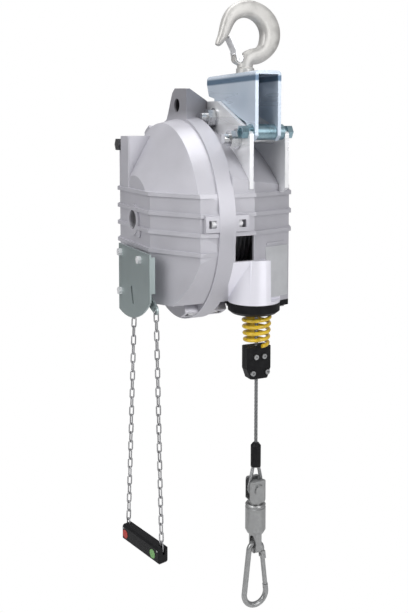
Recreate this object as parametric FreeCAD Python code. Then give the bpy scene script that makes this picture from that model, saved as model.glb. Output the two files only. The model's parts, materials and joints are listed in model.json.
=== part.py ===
import FreeCAD, Part
import math
import os

# Heavy spring balancer: two cast half shells hold a conical rope drum and its spring cassette.
# It hangs from a swivel hook, and a remote lever locks the drum through two chains.
#
# The geometry is drawn about the drum axis: X to the front (rope side), Y along the drum,
# Z up, with the split plane of the shells at Y = 0. Every piece is moved at the end so that
# the origin lies under the crown of the suspension hook's bowl.

# ---- driving dimensions, millimetres ----
HOOK_X, HOOK_Y, BOWL_Z = 76.0, 63.0, 288.0      # crown of the hook's bowl from the drum axis
FLANGE_R, FLANGE_T, WALL = 150.0, 12.0, 4.5
SHELL_R, SHOULDER_X, SHOULDER_Y = 148.0, 140.0, 36.0
ROOT_R = 146.0                                  # shell radius beside its flange
LEFT_DEPTH, END_X = 78.0, 64.0                  # flat end of the left shell
HUB_R, HUB_BORE_R = 22.5, 14.0                  # boss round the arbor's end
EYE_X, EYE_UP, EYE_R_SAFETY = 3.0, 166.0, 10.0  # eye of the safety chain
BOTTOM_Z = -111.0
FRONT_X = 140.0                                 # flat front of the right shell
CORNER_Y = 42.0                                 # below the window the front is square from here
FACE_Y0, FACE_X1, FACE_Y1 = 45.0, 118.0, 112.0  # slanted label face of the right shell
RIGHT_DEPTH, RIGHT_END_X = 126.0, 84.0
LABEL_START, LABEL_END, LABEL_Z0, LABEL_Z1 = 22.0, 67.0, -104.0, -32.0
RIB_TOP_Z, RIB_PITCH, RIB_T, RIB_H = 42.0, 26.0, 5.5, 3.5
LEFT_RIBS, RIGHT_RIBS = 4, 3
CLAMP_ANGLES, CLAMP_RING_R, BOSS_DEPTH = (2, 118, 178, 242, 298), 144.0, 17.0
ROPE_R, ROPE_X, ROPE_Y = 2.5, 110.0, 65.0       # the rope hangs here
DRUM_R, GROOVE_PITCH, CONE_SLOPE = 103.5, 7.0, 0.06
LEAD_BEND_Z, LEAD_BEND = -118.0, 8.0            # slight bend of the rope inside its guide
EAR_T, EAR_FRONT, LEFT_EAR_Y, RIGHT_EAR_Y = 6.0, 142.0, 36.0, 91.0
YOKE_T, YOKE_TOP, YOKE_FRONT, YOKE_BACK = 5.0, 210.0, 144.0, -10.0
YOKE_Y0, YOKE_Y1 = 43.0, 83.0
EAR_BOLTS, EAR_BOLT_R = ((32.0, 148.0), (106.5, 118.0)), 7.0
CROSS_BOLT = (131.0, 127.0)
SHANK_R, NUT_R = 10.0, 14.0
COLUMN_X, COLUMN_Y = 110.0, 60.5
COLUMN_R, COLUMN_TOP_R, COLUMN_TOP = 36.8, 35.5, -49.0
GUIDE_PLATE_T, GUIDE_DEPTH = 8.0, 16.0
BUFFER_TOP, BUFFER_BOTTOM, BUFFER_WIRE, BUFFER_TURNS = -127.4, -175.9, 2.7, 4.6
BUFFER_R_TOP, BUFFER_R_BOTTOM = 19.0, 16.2
CLAMP_TOP, CLAMP_BOTTOM, CLAMP_W, CLAMP_T = -176.0, -221.5, 38.0, 22.0
FERRULE_TOP, FERRULE_BOTTOM, FERRULE_R = -318.5, -353.0, 7.4
EYE_Z, EYE_R, FORK_PIN_R = -384.5, 10.6, 4.9    # rope eye round the fork pin
FORK_TOP, FORK_BOTTOM, FORK_W = -371.5, -403.5, 27.0
BARREL_TOP, BARREL_BOTTOM, BARREL_R = -407.5, -451.0, 14.8
TONGUE_BOTTOM, TONGUE_W, TONGUE_T, TONGUE_EYE_Z, TONGUE_EYE_R = -482.5, 22.0, 9.0, -466.0, 8.5
SNAP_TOP, SNAP_BOTTOM, SNAP_WIRE = -468.6, -566.5, 4.0
SNAP_R1, SNAP_R2 = 10.4, 17.7                   # centre-line radii of the snap hook's two bends
LEVER_X, LEVER_Z, LEVER_Y, LEVER_T = 54.0, -98.0, -84.0, 3.0
CHAIN_Z, CHAIN_HALF = -114.0, 43.0              # lever holes that carry the chains
LINKS, LINK_INNER, LINK_WIRE, LINK_W = 26, 13.35, 1.0, 8.0
HANDLE_X, HANDLE_Y, HANDLE_TWIST = 46.0, -82.5, 13.6
HANDLE_L, HANDLE_W, HANDLE_H, HANDLE_PIN_R = 96.0, 17.0, 23.5, 1.5
MARKERS, MARKER_R = (-38.5, 32.0), 6.3
BRACKET_Y, BRACKET_T, BRACKET_R = -91.0, 2.5, 141.0
RATCHET_R, RATCHET_Y, RATCHET_T, TEETH = 86.0, -46.0, 6.0, 12
CASSETTE_R, CASSETTE_Y0, CASSETTE_Y1 = 105.5, -34.0, 18.0
ARBOR_R, WHEEL_R, WORM_R, WHEEL_TEETH = 12.0, 30.0, 8.0, 30
WORM_Y = -62.0
V = FreeCAD.Vector
X_AXIS, Y_AXIS, Z_AXIS = V(1, 0, 0), V(0, 1, 0), V(0, 0, 1)
FRAME_SHIFT = V(-HOOK_X, -HOOK_Y, -BOWL_Z)


# ---- general helpers ----
def box(x0, x1, y0, y1, z0, z1):
    return Part.makeBox(x1 - x0, y1 - y0, z1 - z0, V(x0, y0, z0))


def rod(radius, start, axis, length):
    return Part.makeCylinder(radius, length, start, axis)


def rod_y(radius, x, z, y0, y1):
    return rod(radius, V(x, y0, z), Y_AXIS, y1 - y0)


def rod_z(radius, x, y, z0, z1):
    return rod(radius, V(x, y, z0), Z_AXIS, z1 - z0)


def rod_x(radius, y, z, x0, x1):
    return rod(radius, V(x0, y, z), X_AXIS, x1 - x0)


def prism_y(points, y0, y1):
    wire = Part.makePolygon([V(x, y0, z) for x, z in points] + [V(points[0][0], y0, points[0][1])])
    return Part.Face(wire).extrude(V(0, y1 - y0, 0))


def prism_z(points, z0, z1):
    wire = Part.makePolygon([V(x, y, z0) for x, y in points] + [V(points[0][0], points[0][1], z0)])
    return Part.Face(wire).extrude(V(0, 0, z1 - z0))


def prism_x(points, x0, x1):
    wire = Part.makePolygon([V(x0, y, z) for y, z in points] + [V(x0, points[0][0], points[0][1])])
    return Part.Face(wire).extrude(V(x1 - x0, 0, 0))


def hexagon(across_flats, turn=0.0):
    radius = across_flats / math.sqrt(3)
    return [(radius * math.cos(math.radians(60 * i + turn)),
             radius * math.sin(math.radians(60 * i + turn))) for i in range(6)]


def hex_y(across_flats, x, z, y0, y1):
    return prism_y([(x + a, z + b) for a, b in hexagon(across_flats)], y0, y1)


def revolve_y(profile):
    """Closed profile of (radius, y) points turned about the drum axis."""
    wire = Part.makePolygon([V(r, y, 0) for r, y in profile] + [V(profile[0][0], profile[0][1], 0)])
    return Part.Face(wire).revolve(V(0, 0, 0), Y_AXIS, 360)


def revolve_z(profile, x, y):
    """Closed profile of (radius, z) points turned about a vertical axis at x, y."""
    wire = Part.makePolygon([V(x + r, y, z) for r, z in profile]
                            + [V(x + profile[0][0], y, profile[0][1])])
    return Part.Face(wire).revolve(V(x, y, 0), Z_AXIS, 360)


def fuse(shapes):
    first, *others = shapes
    return first.multiFuse(others).removeSplitter() if others else first


def group(shapes):
    return Part.makeCompound(shapes)


def round_edges(shape, radius, chosen):
    edges = [e for e in shape.Edges if chosen(e)]
    return shape.makeFillet(radius, edges)


def bevel_edges(shape, size, chosen):
    edges = [e for e in shape.Edges if chosen(e)]
    return shape.makeChamfer(size, edges)


def tangent_edges(path):
    """Edges of a path of ('line', a, b) and ('arc', a, middle, b) steps."""
    edges = []
    for step in path:
        if step[0] == "line":
            edges.append(Part.LineSegment(step[1], step[2]).toShape())
        else:
            edges.append(Part.Arc(step[1], step[2], step[3]).toShape())
    return edges


def tube_along(path, radius):
    wire = Part.Wire(tangent_edges(path))
    start = wire.Edges[0].valueAt(wire.Edges[0].FirstParameter)
    heading = wire.Edges[0].tangentAt(wire.Edges[0].FirstParameter)
    profile = Part.Wire(Part.makeCircle(radius, start, heading))
    return wire.makePipeShell([profile], True, False)


def arm(x0, z0, r0, x1, z1, r1, y0, y1):
    """Flat bar with round ends of two radii, lying in an X-Z plane."""
    length = math.hypot(x1 - x0, z1 - z0)
    nx, nz = -(z1 - z0) / length, (x1 - x0) / length
    web = prism_y([(x0 + nx * r0, z0 + nz * r0), (x1 + nx * r1, z1 + nz * r1),
                   (x1 - nx * r1, z1 - nz * r1), (x0 - nx * r0, z0 - nz * r0)], y0, y1)
    return fuse([web, rod_y(r0, x0, z0, y0, y1), rod_y(r1, x1, z1, y0, y1)])


# ---- half shells ----
def left_plan(grow, y_end):
    """Half plan outline of the left shell, mirrored front to back."""
    front = [(ROOT_R - 2 + grow, y_end), (SHOULDER_X + grow, -SHOULDER_Y - 0.3 * grow),
             (END_X + 0.5 * grow, -LEFT_DEPTH - grow)]
    return front + [(-x, y) for x, y in reversed(front)]


def left_form(grow, y_end):
    dome = revolve_y([(0, y_end), (ROOT_R + grow, y_end), (SHOULDER_X + grow, -SHOULDER_Y),
                      (END_X + 0.5 * grow, -LEFT_DEPTH - grow), (0, -LEFT_DEPTH - grow)])
    chest = prism_z(left_plan(grow, y_end), BOTTOM_Z - grow, RIB_TOP_Z)
    chest = chest.common(rod_y(SHELL_R + grow, 0, 0, -LEFT_DEPTH - 10, 20))
    below = box(-200, 200, -100, 20, -200, BOTTOM_Z - grow)
    return dome.cut(below).fuse(chest).removeSplitter()


def right_outline(y, front, top, corner, bottom):
    """Front wall, sloping roof with a flat crown, back wall and floor, at one Y."""
    crown = 0.15 * front
    mid_x, mid_z = 0.62 * front, corner + 0.58 * (top - corner)
    points = [V(front, y, bottom), V(front, y, corner), V(crown, y, top),
              V(-crown, y, top), V(-front, y, corner), V(-front, y, bottom)]
    return Part.Wire([
        Part.makeLine(points[0], points[1]),
        Part.Arc(points[1], V(mid_x, y, mid_z), points[2]).toShape(),
        Part.makeLine(points[2], points[3]),
        Part.Arc(points[3], V(-mid_x, y, mid_z), points[4]).toShape(),
        Part.makeLine(points[4], points[5]), Part.makeLine(points[5], points[0])])


def right_form(inset, y_start):
    """Lofted hull of the right shell; a positive inset gives its cavity."""
    sections = [(y_start, FRONT_X, 144, 66, BOTTOM_Z), (FACE_Y0, FRONT_X, 130, 60, BOTTOM_Z),
                (FACE_Y1, FACE_X1, 114, 52, BOTTOM_Z),
                (RIGHT_DEPTH, RIGHT_END_X, 88, 40, BOTTOM_Z + 16)]
    wires = []
    for y, front, top, corner, bottom in sections:
        depth = y - inset if y == RIGHT_DEPTH else y - 0.4 * inset if y > FLANGE_T else y
        wires.append(right_outline(depth, front - inset, top - inset, corner - 0.4 * inset,
                                   bottom + 0.7 * inset))
    hull = Part.makeLoft(wires, True, True)
    trim = rod_y(SHELL_R - inset, 0, 0, -5, SHOULDER_Y + 4)
    trim = trim.fuse([box(-200, 200, SHOULDER_Y + 3, 200, -200, 200),
                      box(-200, 200, -5, 200, 20, 200),
                      box(80, 200, CORNER_Y + inset, 200, -200, 200)])
    return hull.common(trim)


def right_plan(grow):
    front = [(FRONT_X + grow, FLANGE_T), (FRONT_X + grow, FACE_Y0 + 0.2 * grow),
             (FACE_X1 + grow, FACE_Y1 + 0.4 * grow), (RIGHT_END_X + grow, RIGHT_DEPTH + grow)]
    return front + [(-x, y) for x, y in reversed(front)]


def clamp_sites():
    for angle in CLAMP_ANGLES:
        turn = math.radians(angle)
        yield CLAMP_RING_R * math.cos(turn), CLAMP_RING_R * math.sin(turn)


def add_clamp_bosses(shell, side):
    """Bolt bosses beside the flange: a thickened wall with a pocket for each head or nut."""
    end = side * 32.0
    seat = side * BOSS_DEPTH
    rim = rod_y(FLANGE_R - 0.5, 0, 0, min(0.0, end), max(0.0, end))
    bosses, cuts = [], []
    for x, z in clamp_sites():
        bosses.append(rod_y(12.0, x, z, min(0.0, end), max(0.0, end)).common(rim))
        pocket = side * 27.5
        cuts.append(rod_y(7.4, x, z, min(seat, pocket), max(seat, pocket)))
        cuts.append(rod_y(3.3, x, z, -18, 18))
    return shell.fuse(bosses).cut(cuts)


def lug_body(y0, y1):
    """Lug for the safety chain: it leans back from the flange to the left ear plate."""
    side = prism_y([(-48, 130), (-31, 155), (-15, 184), (-5, 191), (39, 189), (40, 112),
                    (-40, 112)], y0, y1)
    side = round_edges(side, 5.0, lambda e: abs(e.tangentAt(e.FirstParameter).y) > 0.99
                       and e.CenterOfMass.z > 180)
    roof = prism_x([(-FLANGE_T, 192.5), (LEFT_EAR_Y, 173), (LEFT_EAR_Y, 100), (-FLANGE_T, 100)],
                   -60, 60)
    plan = prism_z([(-60, -FLANGE_T), (38, -FLANGE_T), (5, LEFT_EAR_Y), (-24, LEFT_EAR_Y),
                    (-24, FLANGE_T), (-60, FLANGE_T)], 100, 250)
    lug = side.common(roof).common(plan)
    return lug.cut([rod_y(EYE_R_SAFETY, EYE_X, EYE_UP, -FLANGE_T - 1, 8.0),
                    rod_y(10.6, EYE_X, EYE_UP, 8.0, 19.0)])


def make_left_shell():
    outer = left_form(0, -FLANGE_T + 1)
    ribs = []
    grown = prism_z(left_plan(RIB_H, -FLANGE_T), -100, 60)
    grown = grown.common(rod_y(SHELL_R + 0.5, 0, 0, -LEFT_DEPTH - 10, -FLANGE_T))
    for i in range(LEFT_RIBS):
        z = RIB_TOP_Z - i * RIB_PITCH
        ribs.append(grown.common(box(-200, 200, -100, 0, z - RIB_T / 2, z + RIB_T / 2)))
    flange = rod_y(FLANGE_R, 0, 0, -FLANGE_T, 0)
    hub = rod_y(HUB_R, 0, 0, -LEFT_DEPTH - 3, -LEFT_DEPTH + 12)
    pad = arm(8, -14, 7, 22, -18, 6, -LEFT_DEPTH - 2, -LEFT_DEPTH + 1)
    solid = fuse([outer, flange, lug_body(-FLANGE_T, 0), hub, pad] + ribs)
    cavity = left_form(-WALL, 1).common(rod_y(SHELL_R - WALL - 3, 0, 0, -100, 2))
    shell = solid.cut(cavity).fuse(rod_y(HUB_R, 0, 0, -LEFT_DEPTH - 3, -LEFT_DEPTH + 12))
    shell = add_clamp_bosses(shell, -1)
    shell = shell.cut(rod_y(ARBOR_R + 0.05, 0, 0, -LEFT_DEPTH - 2, 0))
    shell = shell.cut(rod_y(EYE_R_SAFETY, EYE_X, EYE_UP, -FLANGE_T - 1, 1))
    shell = shell.cut(rod_y(HUB_BORE_R, 0, 0, -LEFT_DEPTH - 20, -LEFT_DEPTH + 5))
    shell = shell.cut(rod_y(5.05, LEVER_X, LEVER_Z, -LEFT_DEPTH - 5, -LEFT_DEPTH + 10))
    return shell.cut(rod_z(6.1, -38, WORM_Y, 0, 200)).removeSplitter()


def label_frame():
    along = V(FACE_X1 - FRONT_X, FACE_Y1 - FACE_Y0, 0)
    length = along.Length
    return V(FRONT_X, FACE_Y0, 0), along.normalize(), length


def on_label(start, end, z0, z1, depth, rise):
    """Box on the slanted label face, from start to end along it."""
    corner, along, _ = label_frame()
    turn = math.degrees(math.atan2(along.y, along.x))
    piece = Part.makeBox(end - start, depth + rise, z1 - z0, V(start, -rise, z0))
    piece.rotate(V(0, 0, 0), Z_AXIS, turn)
    piece.translate(corner)
    return piece


def make_right_shell():
    outer = right_form(0, FLANGE_T - 1)
    grown = prism_z(right_plan(RIB_H), -100, 60)
    ribs = []
    for i in range(RIGHT_RIBS):
        z = RIB_TOP_Z - i * RIB_PITCH
        ribs.append(grown.common(box(-200, 200, 0, 200, z - RIB_T / 2, z + RIB_T / 2)))
    flange = rod_y(FLANGE_R, 0, 0, 0, FLANGE_T)
    column = Part.makeCone(COLUMN_R, COLUMN_TOP_R, COLUMN_TOP - BOTTOM_Z,
                           V(COLUMN_X, COLUMN_Y, BOTTOM_Z), Z_AXIS)
    bead = on_label(24, 60, -29, -26, 1, 1.5)
    solid = fuse([outer, flange, lug_body(0, LEFT_EAR_Y), column, bead] + ribs)
    solid = solid.cut(on_label(LABEL_START - 1.5, 73, LABEL_Z0 - 3, LABEL_Z1 + 1, 0, 16))
    cavity = right_form(WALL, -1)
    rope_way = rod_z(14.0, ROPE_X, ROPE_Y, BOTTOM_Z + WALL, COLUMN_TOP)
    rope_exit = rod_z(12.0, ROPE_X, ROPE_Y, BOTTOM_Z - 1, BOTTOM_Z + WALL + 1)
    window = box(FRONT_X - 12, FRONT_X + 10, 16, 44, -48, -13)
    shell = solid.cut([cavity, rope_way, rope_exit, window])
    shell = shell.fuse(rod_y(22.0, 0, 0, RIGHT_DEPTH - 18, RIGHT_DEPTH))
    shell = add_clamp_bosses(shell, 1)
    shell = shell.cut([rod_z(2.55, x, y, BOTTOM_Z - 1, BOTTOM_Z + 2.5) for x, y in GUIDE_SCREWS])
    return shell.cut(rod_y(ARBOR_R + 0.05, 0, 0, 0, RIGHT_DEPTH - 4)).removeSplitter()


def make_clamp_bolts():
    pieces = []
    for x, z in clamp_sites():
        end = BOSS_DEPTH
        bolt = fuse([hex_y(10, x, z, -end - 6, -end), rod_y(3.0, x, z, -end, end + 7)])
        nut = hex_y(10, x, z, end, end + 5).cut(rod_y(3.0, x, z, end - 1, end + 8))
        pieces += [bolt, nut]
    return group(pieces)


# ---- suspension ----
def ear(y0, shell):
    outline = [(-3, 172.5), (40, 171.5), (EAR_FRONT, 126), (EAR_FRONT, 50), (100, 30), (-3, 60)]
    plate = prism_y(outline, y0, y0 + EAR_T)
    plate = round_edges(plate, 5.0, lambda e: abs(e.tangentAt(e.FirstParameter).y) > 0.99
                        and e.CenterOfMass.z > 125)
    holes = [rod_y(EAR_BOLT_R + 0.2, x, z, y0 - 1, y0 + EAR_T + 1) for x, z in EAR_BOLTS]
    holes.append(rod_y(6.2, CROSS_BOLT[0], CROSS_BOLT[1], y0 - 1, y0 + EAR_T + 1))
    return largest(plate.cut(shell).cut(holes))


def largest(shape):
    return max(shape.Solids, key=lambda s: s.Volume)


def make_ear_bolts():
    pieces = []
    right = RIGHT_EAR_Y + EAR_T
    for x, z in EAR_BOLTS:
        shank = rod_y(EAR_BOLT_R, x, z, 13, right + 1)
        head = hex_y(22, x, z, right + 3, right + 12)
        washer_l = rod_y(14, x, z, LEFT_EAR_Y - 2.5, LEFT_EAR_Y).cut(rod_y(EAR_BOLT_R, x, z, 0, 99))
        washer_r = rod_y(14, x, z, right, right + 3)
        nut = hex_y(22, x, z, LEFT_EAR_Y - 14, LEFT_EAR_Y - 2.5).cut(rod_y(EAR_BOLT_R, x, z, 0, 99))
        pieces += [fuse([shank, head, washer_r]), washer_l, nut]
    return group(pieces)


def make_yoke():
    outline = [(YOKE_BACK, YOKE_TOP), (YOKE_FRONT, YOKE_TOP), (YOKE_FRONT, 122), (136, 115),
               (124, 117), (118, 140), (50, 163), (46, 136), (18, 136), (16, 176), (-3, 180),
               (YOKE_BACK, 198)]
    bent = prism_y(outline, YOKE_Y0, YOKE_Y1)
    bent = round_edges(bent, 6.0, lambda e: abs(e.tangentAt(e.FirstParameter).x) > 0.99
                       and e.CenterOfMass.z > YOKE_TOP - 1)
    bent = bent.cut(box(-60, 200, YOKE_Y0 + YOKE_T, YOKE_Y1 - YOKE_T, 0, YOKE_TOP - YOKE_T))
    holes = [rod_y(EAR_BOLT_R + 0.2, EAR_BOLTS[0][0], EAR_BOLTS[0][1], 0, 120),
             rod_y(6.2, CROSS_BOLT[0], CROSS_BOLT[1], 0, 120),
             rod_z(SHANK_R + 0.05, HOOK_X, HOOK_Y, YOKE_TOP - 20, YOKE_TOP + 5)]
    return bent.cut(holes)


def make_yoke_bolt():
    x, z = CROSS_BOLT
    right = RIGHT_EAR_Y + EAR_T
    bolt = fuse([rod_y(6, x, z, LEFT_EAR_Y - 6, right), hex_y(17, x, z, right, right + 8)])
    nut = hex_y(17, x, z, LEFT_EAR_Y - 9, LEFT_EAR_Y).cut(rod_y(6, x, z, 0, 99))
    spacers = [rod_y(11, x, z, a, b).cut(rod_y(6, x, z, 0, 120))
               for a, b in ((YOKE_Y0 + YOKE_T, YOKE_Y1 - YOKE_T), (YOKE_Y1, RIGHT_EAR_Y),
                            (LEFT_EAR_Y + EAR_T, YOKE_Y0))]
    a, b = EAR_BOLTS[0]
    packers = [rod_y(12, a, b, p, q).cut(rod_y(EAR_BOLT_R, a, b, 0, 120))
               for p, q in ((YOKE_Y0 + YOKE_T, YOKE_Y1 - YOKE_T), (YOKE_Y1, RIGHT_EAR_Y),
                            (LEFT_EAR_Y + EAR_T, YOKE_Y0))]
    return group([bolt, nut] + spacers + packers)


def hook_section(y, z, angle, half_width, half_depth, square=1.0):
    """Closed section at y, z from the bowl's crown; angle points out of the bowl."""
    turn = math.radians(angle)
    points = []
    for i in range(8):
        a = math.radians(45 * i)
        corner = square if i % 2 else 1.0
        out, side = half_width * corner * math.cos(a), half_depth * corner * math.sin(a)
        points.append(V(HOOK_X + side, HOOK_Y + y + out * math.cos(turn),
                        BOWL_Z + z + out * math.sin(turn)))
    curve = Part.BSplineCurve()
    curve.interpolate(points, PeriodicFlag=True)
    return Part.Wire(curve.toShape())


BOWL_R = 24.3                                   # inside radius of the hook's bowl
# angle round the bowl, width and half thickness of the forging there
BOW = ((-42, 23.0, 10.5), (-15, 28.5, 10.5), (8, 30.5, 10.5), (35, 29.5, 10.5), (65, 26.0, 10.5),
       (95, 24.0, 10.5), (130, 20.5, 9.5), (163, 16.5, 8.0))


def make_top_hook():
    """Forged swivel hook: round shank, thick flat-faced back, and a nose that turns out."""
    sections = [hook_section(0, -74, 0, 10.2, 10.2),
                hook_section(1.5, -62, -14, 12.2, 10.6),
                hook_section(9.5, -55.5, -44, 13.0, 10.6, 1.06)]
    for angle, width, depth in BOW:
        reach = BOWL_R + width / 2
        sections.append(hook_section(reach * math.cos(math.radians(angle)),
                                     -BOWL_R + reach * math.sin(math.radians(angle)),
                                     angle, width / 2, depth, 1.12))
    sections.append(hook_section(-37.5, -30, 155, 6.2, 6.5, 1.06))
    sections.append(hook_section(-44, -40, 150, 3.0, 4.2))
    bow = Part.makeLoft(sections, True, False)
    seat = YOKE_TOP + 0.3
    shank = revolve_z([(0, seat - 36), (SHANK_R, seat - 36), (SHANK_R, seat), (13.0, seat),
                       (13.0, seat + 6), (11.0, seat + 8), (0, seat + 8)], HOOK_X, HOOK_Y)
    lump = arm_x(LATCH_Y, LATCH_Z, 7.0, LATCH_Y + 10, LATCH_Z - 4, 7.5, -6.0, 6.0)
    hook = bow.fuse(shank).fuse(lump)
    return hook.cut(rod_x(2.1, HOOK_Y + LATCH_Y, BOWL_Z + LATCH_Z, HOOK_X - 20, HOOK_X + 20))


def arm_x(y0, z0, r0, y1, z1, r1, x0, x1):
    """Flat bar with round ends in a Y-Z plane, placed from the crown of the bowl."""
    flat = arm(y0, z0, r0, y1, z1, r1, 0, x1 - x0)
    flat.rotate(V(0, 0, 0), Z_AXIS, 90)
    flat.translate(V(HOOK_X + x1, HOOK_Y, BOWL_Z))
    return flat


LATCH_Y, LATCH_Z = -12.5, -58.0


def make_hook_latch():
    """Bent strip with two ears on the latch pin; it closes the throat from inside."""
    strip = arm_x(LATCH_Y - 2.5, LATCH_Z + 7, 2.0, -26.8, -29.0, 1.8, -9.0, 9.0)
    ears = [arm_x(LATCH_Y, LATCH_Z, 5.0, LATCH_Y - 4, LATCH_Z + 9, 3.0, a, b)
            for a, b in ((-9.0, -6.5), (6.5, 9.0))]
    latch = fuse([strip] + ears)
    latch = latch.cut(rod_x(9.0, HOOK_Y + LATCH_Y, BOWL_Z + LATCH_Z, HOOK_X - 6.5, HOOK_X + 6.5))
    return latch.cut(rod_x(2.05, HOOK_Y + LATCH_Y, BOWL_Z + LATCH_Z, HOOK_X - 20, HOOK_X + 20))


def make_hook_nut():
    top = YOKE_TOP - YOKE_T - 8.3
    nut = rod_z(NUT_R, HOOK_X, HOOK_Y, top - 18, top)
    slots = []
    for i in range(3):
        slot = box(-20, 20, -2, 2, top - 19, top - 13)
        slot.rotate(V(0, 0, 0), Z_AXIS, 60 * i)
        slot.translate(V(HOOK_X, HOOK_Y, 0))
        slots.append(slot)
    return nut.cut(slots).cut(rod_z(SHANK_R, HOOK_X, HOOK_Y, 0, 260))


def make_thrust_bearing():
    top = YOKE_TOP - YOKE_T - 0.3
    rings = [rod_z(NUT_R, HOOK_X, HOOK_Y, top - 8, top - 5.2),
             rod_z(NUT_R, HOOK_X, HOOK_Y, top - 2.8, top)]
    cage = rod_z(NUT_R - 1, HOOK_X, HOOK_Y, top - 5.2, top - 2.8)
    bore = rod_z(SHANK_R, HOOK_X, HOOK_Y, 0, 260)
    return group([piece.cut(bore) for piece in rings + [cage]])


# ---- drum, spring and its worm adjuster ----
def drum_radius(y):
    return DRUM_R + (ROPE_Y - y) * CONE_SLOPE


def groove_positions():
    return [ROPE_Y + GROOVE_PITCH * i for i in range(-3, 3)]


def make_rope_drum():
    """Grooved cone on a web and hub."""
    outer = [(106.8, 22.0), (106.8, 30.0), (drum_radius(32), 32.0)]
    for y in groove_positions():
        root = drum_radius(y) - ROPE_R - 0.1
        outer += [(root + 1.6, y - 2.6), (root, y - 1.2), (root, y + 1.2), (root + 1.6, y + 2.6)]
    outer += [(drum_radius(82), 82.0), (drum_radius(84), 86.0)]
    inner = [(95, 86.0), (95, 60.0), (34, 60.0), (34, 100.0), (20.1, 100.0), (20.1, 22.0),
             (34, 22.0), (34, 52.0), (95, 52.0), (97, 22.0)]
    return revolve_y(outer + inner)


def make_rope_on_drum():
    turns = []
    for y in groove_positions()[:3]:
        turns.append(Part.makeTorus(drum_radius(y), ROPE_R - 0.05, V(0, y, 0), Y_AXIS))
    return group(turns)


def make_cassette():
    r, y0, y1 = CASSETTE_R, CASSETTE_Y0, CASSETTE_Y1
    return revolve_y([(20.1, y0), (r, y0), (r, y1), (104, y1 + 4), (20.1, y1 + 4), (20.1, y1 - 3),
                      (r - 4, y1 - 3), (r - 4, y0 + 3), (20.1, y0 + 3)])


def spiral_points(radius0, radius1, turns, steps):
    points = []
    for i in range(int(turns * steps) + 1):
        angle = 2 * math.pi * i / steps
        radius = radius0 + (radius1 - radius0) * i / (turns * steps)
        points.append((radius * math.cos(angle), radius * math.sin(angle)))
    return points


def make_power_spring():
    """Flat strip wound in a spiral between the arbor and the cassette wall."""
    inside = spiral_points(31, 96, 7, 20)
    outside = spiral_points(34, 99, 7, 20)
    return prism_y(inside + list(reversed(outside)), CASSETTE_Y0 + 5, CASSETTE_Y1 - 5)


def make_arbor():
    shaft = rod_y(ARBOR_R, 0, 0, -LEFT_DEPTH + 6, RIGHT_DEPTH - 5)
    hub = rod_y(28.0, 0, 0, CASSETTE_Y0 + 4, CASSETTE_Y1 - 4)
    square = box(-6, 6, -LEFT_DEPTH, -LEFT_DEPTH + 6, -6, 6)
    return fuse([shaft, hub, square])


def make_bearings():
    rings = []
    for y0, y1 in ((24, 34), (88, 98), (CASSETTE_Y0, CASSETTE_Y0 + 3)):
        rings.append(rod_y(20.0, 0, 0, y0, y1).cut(rod_y(ARBOR_R + 0.05, 0, 0, 0 - 60, 120)))
    return group(rings)


def make_ratchet():
    """Locking ring on the cassette with square gaps for the pawl."""
    ring = rod_y(RATCHET_R, 0, 0, RATCHET_Y, RATCHET_Y + RATCHET_T)
    ring = fuse([ring, rod_y(60, 0, 0, RATCHET_Y + RATCHET_T, CASSETTE_Y0)])
    gaps = []
    for i in range(TEETH):
        gap = box(RATCHET_R - 7, RATCHET_R + 5, RATCHET_Y - 1, RATCHET_Y + RATCHET_T, -8, 8)
        gap.rotate(V(0, 0, 0), Y_AXIS, 46 + 360 / TEETH * i)
        gaps.append(gap)
    return ring.cut(gaps).cut(rod_y(20, 0, 0, -100, 0))


def make_worm_wheel():
    wheel = rod_y(WHEEL_R + 1.2, 0, 0, WORM_Y - 4, WORM_Y + 4)
    gaps = []
    for i in range(WHEEL_TEETH):
        gap = box(WHEEL_R - 2.6, WHEEL_R + 4, WORM_Y - 5, WORM_Y + 5, -2.0, 2.0)
        gap.rotate(V(0, 0, 0), Y_AXIS, 360 / WHEEL_TEETH * i)
        gaps.append(gap)
    return wheel.cut(gaps).cut(rod_y(ARBOR_R, 0, 0, -100, 0))


def make_worm_shaft():
    """Adjusting shaft with a single-start thread; its square end stands out on top."""
    x = -(WHEEL_R + WORM_R)
    lead = 2 * math.pi * WHEEL_R / WHEEL_TEETH
    shaft = fuse([rod_z(5.0, x, WORM_Y, -28, 20), rod_z(6.0, x, WORM_Y, 20, 113)])
    helix = Part.makeLongHelix(lead, 4 * lead, 6.4, 0)
    profile = Part.Wire(Part.makePolygon([V(4.6, 0, -1.0), V(9.0, 0, -0.6), V(9.0, 0, 0.6),
                                          V(4.6, 0, 1.0), V(4.6, 0, -1.0)]))
    thread = Part.Wire(helix).makePipeShell([profile], True, True)
    thread.translate(V(x, WORM_Y, -2 * lead))
    square = box(x - 4, x + 4, WORM_Y - 4, WORM_Y + 4, 113, 120)
    return fuse([shaft, thread, square])


def make_worm_housing(shell):
    """Tower on the end of the left shell round the adjusting shaft."""
    tower = box(-56, -20, -LEFT_DEPTH - 2, -34, 30, 121)
    lid = box(-74, -56, -LEFT_DEPTH + 3, -34, 36, 112)
    tower = fuse([tower, lid])
    tower = round_edges(tower, 3.0, lambda e: abs(e.tangentAt(e.FirstParameter).z) > 0.99
                        and e.CenterOfMass.y < -LEFT_DEPTH + 1)
    tower = tower.cut(shell).cut([rod_z(6.1, -38, WORM_Y, 0, 200), make_tower_plug()])
    return largest(tower)


def make_tower_plug():
    """Screw plug on the flank of the tower."""
    return hex_y(17, -64, 108, -LEFT_DEPTH - 5, -LEFT_DEPTH + 3)


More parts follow.
